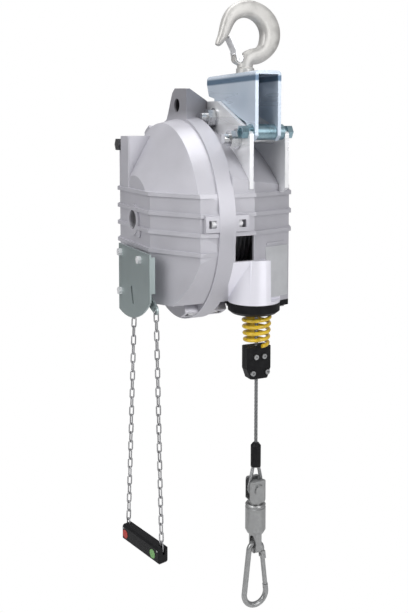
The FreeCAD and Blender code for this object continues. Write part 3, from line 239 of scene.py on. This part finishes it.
def zinc(name, colour, cloud, metallic=0.85, roughness=0.30, clouds=18.0, painted_shadow_band=None):
    """Plated sheet: faint clouds of tint and rolling lines; painted_shadow_band paints a dark
    band between two heights, a painted shadow and reflection of a neighbouring plate."""
    n = Nodes(name)
    tint = n.ramp(n.noise(clouds, 3.0), [(0.32, cloud), (0.60, colour),
                                         (0.80, shade(colour, 1.06))])
    # painted shadow: a dark band on the plating between two heights
    if painted_shadow_band:
        height = n.split().outputs["Z"]
        low, high, dark = painted_shadow_band
        rise = n.spread(height, low, low + 0.002, 0.0, 1.0)
        fall = n.spread(height, high, high + 0.003, 1.0, 0.0)
        tint = n.blend(tint, n.maths("MULTIPLY", rise, fall), dark)
    lines = n.noise(45.0, 1.0, (0.1, 1.0, 1.0))
    return n.use(Base_Color=tint, Metallic=metallic, Normal=n.bump(lines, 0.00006, 0.05),
                 Roughness=n.spread(lines, 0.3, 0.7, roughness - 0.04, roughness + 0.06))


def steel(name, colour, roughness=0.33, turned=(1.0, 1.0, 0.1), metallic=0.9):
    """Machined or drawn steel with fine marks along one direction."""
    n = Nodes(name)
    marks = n.noise(700.0, 3.0, turned)
    stain = n.noise(70.0, 5.0)
    tint = n.ramp(stain, [(0.30, shade(colour, 0.78)), (0.55, colour),
                          (0.80, shade(colour, 1.12))])
    return n.use(Base_Color=tint, Metallic=metallic, Normal=n.bump(marks, 0.00003, 0.3),
                 Roughness=n.spread(stain, 0.3, 0.7, roughness - 0.07, roughness + 0.10))


def moulded(name, colour, roughness=0.46, grain=1400.0, gloss=0.15):
    """Moulded plastic with a spark-eroded grain and slightly worn, greyer patches."""
    n = Nodes(name)
    skin = n.noise(grain, 2.0)
    wear = n.noise(90.0, 6.0)
    tint = n.ramp(wear, [(0.40, colour), (0.75, tuple(c + 0.006 for c in colour))])
    n.shader.inputs["Specular IOR Level"].default_value = gloss
    return n.use(Base_Color=tint, Normal=n.bump(skin, 0.00004, 0.3),
                 Roughness=n.spread(wear, 0.3, 0.7, roughness - 0.08, roughness + 0.08))


def spring_paint():
    """Yellow powder coat with a light orange peel and dust in its hollows."""
    n = Nodes("spring_yellow")
    dust = n.noise(120.0, 6.0)
    tint = n.ramp(dust, [(0.28, (0.48, 0.30, 0.01)), (0.50, (0.70, 0.47, 0.02)),
                         (0.80, (0.76, 0.54, 0.035))])
    return n.use(Base_Color=tint, Roughness=n.spread(dust, 0.3, 0.7, 0.24, 0.38),
                 Normal=n.bump(n.noise(420.0, 2.0), 0.00010, 0.4), Coat_Weight=0.3)


def spangled(name, colour, roughness=0.36):
    """Galvanised steel: crystal spangle in the tint and the gloss."""
    n = Nodes(name)
    cells = n.add("ShaderNodeTexVoronoi", Scale=230.0)
    n.join(n.place, cells.inputs["Vector"])
    tint = n.ramp(cells.outputs["Color"], [(0.15, shade(colour, 0.90)), (0.60, colour),
                                           (0.90, shade(colour, 1.08))])
    grain = n.noise(800.0, 4.0)
    return n.use(Base_Color=tint, Metallic=0.85, Normal=n.bump(grain, 0.00003, 0.3),
                 Roughness=n.spread(cells.outputs["Color"], 0.1, 0.9, roughness - 0.08,
                                    roughness + 0.12))


def wire_rope_steel(name, colour):
    """Stranded wire: painted shade in the valleys and a painted highlight on the slanted strands.
    """
    n = Nodes(name)
    wave = n.add("ShaderNodeTexWave", wave_type="BANDS", bands_direction="DIAGONAL", Scale=260.0,
                 Distortion=1.0)
    n.join(n.place, wave.inputs["Vector"])
    tint = n.ramp(wave.outputs["Fac"], [(0.10, shade(colour, 0.35)), (0.55, colour),
                                        (0.90, shade(colour, 1.25))])
    return n.use(Base_Color=tint, Metallic=0.8, Roughness=0.38,
                 Normal=n.bump(wave.outputs["Fac"], 0.0004, 0.6))


def drum_metal():
    """Turned drum with painted shade in its grooves: the ring pattern that cuts the grooves also
    darkens them.
    """
    n = Nodes("drum_alloy")
    turned = n.noise(500.0, 3.0, (0.05, 1.0, 0.05))
    tint = n.ramp(turned, [(0.3, (0.30, 0.31, 0.33)), (0.7, (0.46, 0.47, 0.49))])
    return n.use(Base_Color=tint, Metallic=0.7, Roughness=0.42,
                 Normal=n.bump(turned, 0.0002, 0.4))


MATERIALS = {
    "housing_cast": cast_paint("housing_cast", (0.50, 0.495, 0.535)),
    "zinc_bright": zinc("zinc_bright", (0.80, 0.805, 0.82), (0.73, 0.735, 0.75), 0.4, 0.30),
    "bolt_zinc": steel("bolt_zinc", (0.66, 0.67, 0.68), 0.22, EVEN, 0.95),
    "oiled_steel": steel("oiled_steel", (0.10, 0.10, 0.105), 0.35, EVEN, 0.7),
    "bolt_blue": zinc("bolt_blue", (0.30, 0.42, 0.47), (0.16, 0.26, 0.31), 0.8, 0.25, 60.0),
    # the dark band on the yoke is a painted shadow and reflection of the ear plate along its
    # lower edge
    "zinc_blue": zinc("zinc_blue", (0.60, 0.67, 0.76), (0.50, 0.585, 0.68), 0.4, 0.28, 9.0,
                      (HOUSING.z + 0.195, HOUSING.z + 0.2025, (0.12, 0.19, 0.28))),
    "zinc_teal": zinc("zinc_teal", (0.36, 0.42, 0.42), (0.30, 0.355, 0.355), 0.7, 0.36, 7.0),
    "plate_label": zinc("plate_label", (0.66, 0.67, 0.69), (0.58, 0.59, 0.61), 0.5, 0.36, 30.0),
    "forged_satin": steel("forged_satin", (0.54, 0.53, 0.51), 0.46, EVEN, 0.45),
    "drum_alloy": drum_metal(),
    "black_plastic": moulded("black_plastic", (0.006, 0.006, 0.007)),
    "spring_yellow": spring_paint(),
    "rope_steel": wire_rope_steel("rope_steel", (0.36, 0.365, 0.37)),
    "machine_steel": steel("machine_steel", (0.42, 0.425, 0.43)),
    "galvanised": spangled("galvanised", (0.34, 0.345, 0.345)),
    "chain_zinc": steel("chain_zinc", (0.40, 0.40, 0.41), 0.36, EVEN),
    "rope_plain": steel("rope_plain", (0.22, 0.225, 0.23), 0.32, EVEN),
    "red_marker": moulded("red_marker", (0.40, 0.045, 0.035), 0.35),
    "green_marker": moulded("green_marker", (0.17, 0.36, 0.13), 0.35),
}

# pieces whose plating differs from the rest of their slot
FINISHES = {"ear_bolts": "bolt_zinc", "yoke_bolt": "bolt_blue", "spring_arbor": "oiled_steel",
            "tower_plug": "oiled_steel"}


def dress_nodes():
    for part in frame["record"]["subparts"]:
        obj = frame["nodes"][part["node"]]
        obj.data.materials.clear()
        finish = FINISHES.get(part["node"], part["material_slot"])
        obj.data.materials.append(MATERIALS[finish])


# ---- pieces ----
def place(name, verts, faces, material, body):
    mesh = bpy.data.meshes.new(name)
    mesh.from_pydata([tuple(v) for v in verts], [], faces)
    mesh.materials.append(MATERIALS[material])
    obj = bpy.data.objects.new(name, mesh)
    bpy.context.scene.collection.objects.link(obj)
    for face in mesh.polygons:
        face.use_smooth = True
    tidy = bmesh.new()
    tidy.from_mesh(mesh)
    bmesh.ops.recalc_face_normals(tidy, faces=tidy.faces)
    tidy.to_mesh(mesh)
    tidy.free()
    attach(obj, body)
    return obj


def add_ring_faces(faces, start, rows, columns, closed):
    """Quads between successive rings of points; closed joins the last ring to the first."""
    for i in range(rows if closed else rows - 1):
        for k in range(columns):
            a = start + i * columns
            b = start + (i + 1) % rows * columns
            m = (k + 1) % columns
            faces.append((a + k, a + m, b + m, b + k))


def link_loop():
    """Centre line of a link as (along, across) pairs: two bends joined by straight legs."""
    half_w = LINK_W / 2 - LINK_WIRE
    straight = LINK_INNER / 2 + LINK_WIRE - half_w
    points = []
    for end in (1, -1):
        for i in range(BEND_STEPS + 1):
            a = math.pi * i / BEND_STEPS
            points.append((end * (straight + half_w * math.sin(a)), end * half_w * math.cos(a)))
    return points


def build_chain(name, node, sign, body):
    """Smooth round-wire links, each turned a quarter across its neighbour."""
    top = LEVER + Vector((sign * CHAIN_HALF, 0.0, -CHAIN_DROP))
    low = HANDLE + Vector((sign * CHAIN_HALF * math.cos(HANDLE_TWIST),
                           sign * CHAIN_HALF * math.sin(HANDLE_TWIST), 0.0))
    reach = LINK_INNER + 2 * LINK_WIRE + (LINKS - 1) * LINK_PITCH
    low.z = top.z - reach
    along = (low - top).normalized()
    verts, faces = [], []
    loop = link_loop()
    for i in range(LINKS):
        twist = math.radians(90) + HANDLE_TWIST * i / (LINKS - 1) - math.radians(90) * (i % 2)
        across = Vector((math.cos(twist), math.sin(twist), 0.0))
        across = (across - along * across.dot(along)).normalized()
        side = along.cross(across)
        middle = top + along * (LINK_INNER / 2 + LINK_WIRE + i * LINK_PITCH)
        start = len(verts)
        spots = [middle + along * a + across * b for a, b in loop]
        for j, spot in enumerate(spots):
            ahead = spots[(j + 1) % len(spots)] - spots[j - 1]
            out = ahead.normalized().cross(side)
            for k in range(WIRE_SIDES):
                a = 2 * math.pi * k / WIRE_SIDES
                verts.append(spot + out * (LINK_WIRE * math.cos(a))
                             + side * (LINK_WIRE * math.sin(a)))
        add_ring_faces(faces, start, len(spots), WIRE_SIDES, True)
    chain = place(name, verts, faces, "chain_zinc", body)
    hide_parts(node)


def route_points(name, points):
    """Points along a smooth NURBS route through space."""
    curve = bpy.data.curves.new(name, "CURVE")
    curve.dimensions = "3D"
    spline = curve.splines.new("NURBS")
    spline.points.add(len(points) - 1)
    for spot, point in zip(spline.points, points):
        spot.co = (*point, 1.0)
    spline.order_u = 3
    spline.use_endpoint_u = True
    spline.resolution_u = 40
    holder = bpy.data.objects.new(name, curve)
    mesh = bpy.data.meshes.new_from_object(holder)
    spots = [v.co.copy() for v in mesh.vertices]
    bpy.data.objects.remove(holder)
    return spots


def strand_tube(spots, radius, strands, lay):
    """Rope surface: a ring of round strands that twist once in each lay length."""
    verts, faces = [], []
    columns = strands * STRAND_SIDES
    travelled = 0.0
    for i, spot in enumerate(spots):
        if i:
            travelled += (spot - spots[i - 1]).length
        ahead = (spots[min(i + 1, len(spots) - 1)] - spots[max(i - 1, 0)]).normalized()
        side = Vector((0.0, 1.0, 0.0)).cross(ahead).normalized()
        up = ahead.cross(side)
        spin = 2 * math.pi * travelled / lay
        for k in range(columns):
            a = 2 * math.pi * k / columns
            bulge = abs(math.sin(strands * a / 2)) ** 0.6
            r = radius * (0.72 + 0.28 * bulge)
            verts.append(spot + side * (r * math.cos(a + spin)) + up * (r * math.sin(a + spin)))
    add_ring_faces(faces, 0, len(spots), columns, False)
    faces.append(tuple(range(columns)))
    faces.append(tuple(range(len(verts) - columns, len(verts))))
    return verts, faces


def build_rope():
    heights = (ROPE_TOP, (ROPE_TOP + ROPE_END) / 2, ROPE_END)
    route = [ROPE + Vector((0.0, 0.0, z)) for z in heights]
    spots = route_points("rope_route", route)
    dense = [spots[0].lerp(spots[-1], i / ROPE_STEPS) for i in range(ROPE_STEPS + 1)]
    verts, faces = strand_tube(dense, ROPE_D / 2, ROPE_STRANDS, ROPE_LAY)
    rope = place("hanging_rope", verts, faces, "rope_plain", "rope")
    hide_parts("wire_rope")


# ---- surroundings ----
def seen_directly(tree):
    """1 for camera and transmission rays, 0 for the rays that light and colour the object."""
    path = tree.nodes.new("ShaderNodeLightPath")
    either = tree.nodes.new("ShaderNodeMath")
    either.operation = "MAXIMUM"
    tree.links.new(path.outputs["Is Camera Ray"], either.inputs[0])
    tree.links.new(path.outputs["Is Transmission Ray"], either.inputs[1])
    return either.outputs[0]


def plain(name, colour, glow):
    """Pale surface that is white to the camera and plain matte to every other ray."""
    material = bpy.data.materials.new(name)
    material.use_nodes = True
    tree = material.node_tree
    tree.nodes.clear()
    out = tree.nodes.new("ShaderNodeOutputMaterial")
    mix = tree.nodes.new("ShaderNodeMixShader")
    matte = tree.nodes.new("ShaderNodeBsdfDiffuse")
    light = tree.nodes.new("ShaderNodeEmission")
    matte.inputs["Color"].default_value = (*colour, 1.0)
    light.inputs["Color"].default_value = (1.0, 1.0, 1.0, 1.0)
    light.inputs["Strength"].default_value = glow
    tree.links.new(seen_directly(tree), mix.inputs["Fac"])
    tree.links.new(matte.outputs[0], mix.inputs[1])
    tree.links.new(light.outputs[0], mix.inputs[2])
    tree.links.new(mix.outputs[0], out.inputs["Surface"])
    return material


def add_floor():
    half, z = 6.0, -1.25
    mesh = bpy.data.meshes.new("floor")
    mesh.from_pydata([(-half, -half, z), (half, -half, z), (half, half, z), (-half, half, z)], [],
                     [(0, 1, 2, 3)])
    mesh.materials.append(plain("floor_white", (0.85, 0.85, 0.85), 1.0))
    floor = bpy.data.objects.new("floor", mesh)
    bpy.context.scene.collection.objects.link(floor)


# brightness of the studio from straight down (0) to straight up (1)
SKY = ((0.0, 0.28), (0.38, 0.42), (0.47, 0.24), (0.56, 0.78), (0.75, 1.0), (0.86, 0.50),
       (1.0, 1.1))


def add_world(strength):
    world = bpy.data.worlds.new("studio")
    bpy.context.scene.world = world
    world.use_nodes = True
    tree = world.node_tree
    tree.nodes.clear()
    out = tree.nodes.new("ShaderNodeOutputWorld")
    mix = tree.nodes.new("ShaderNodeMixShader")
    soft = tree.nodes.new("ShaderNodeBackground")
    white = tree.nodes.new("ShaderNodeBackground")
    soft.inputs["Strength"].default_value = strength
    where = tree.nodes.new("ShaderNodeTexCoord")
    split = tree.nodes.new("ShaderNodeSeparateXYZ")
    shades = tree.nodes.new("ShaderNodeValToRGB")
    tree.links.new(where.outputs["Generated"], split.inputs[0])
    lift = tree.nodes.new("ShaderNodeMapRange")
    lift.inputs["From Min"].default_value = -1.0
    tree.links.new(split.outputs["Z"], lift.inputs["Value"])
    tree.links.new(lift.outputs["Result"], shades.inputs["Fac"])
    while len(shades.color_ramp.elements) < len(SKY):
        shades.color_ramp.elements.new(0.5)
    for element, (spot, level) in zip(shades.color_ramp.elements, SKY):
        element.position = spot
        element.color = (0.98 * level, 0.98 * level, level, 1.0)
    tree.links.new(shades.outputs["Color"], soft.inputs["Color"])
    white.inputs["Color"].default_value = (1.0, 1.0, 1.0, 1.0)
    white.inputs["Strength"].default_value = 1.0
    tree.links.new(seen_directly(tree), mix.inputs["Fac"])
    tree.links.new(soft.outputs[0], mix.inputs[1])
    tree.links.new(white.outputs[0], mix.inputs[2])
    tree.links.new(mix.outputs[0], out.inputs["Surface"])


def add_softbox(name, spot, target, width, height, power):
    data = bpy.data.lights.new(name, "AREA")
    data.shape = "RECTANGLE"
    data.size = width
    data.size_y = height
    data.energy = power
    lamp = bpy.data.objects.new(name, data)
    bpy.context.scene.collection.objects.link(lamp)
    lamp.location = spot
    lamp.rotation_euler = (Vector(target) - Vector(spot)).to_track_quat("-Z", "Y").to_euler()


def add_lights():
    middle = (-0.03, -0.04, -0.35)
    add_softbox("key", (0.5, -1.9, 0.7), middle, 1.4, 1.4, 24.0)
    add_softbox("front", (2.0, 0.5, 0.4), middle, 1.0, 1.8, 24.0)
    add_softbox("top", (-0.2, -0.2, 1.6), middle, 1.6, 1.6, 26.0)


add_camera()
build_rope()
dress_nodes()
build_chain("lock_chain_links", "lock_chain", -1, "left_chain_run")
build_chain("release_chain_links", "release_chain", 1, "right_chain_run")
add_floor()
add_world(0.50)
add_lights()

bpy.context.scene.view_settings.view_transform = "Standard"
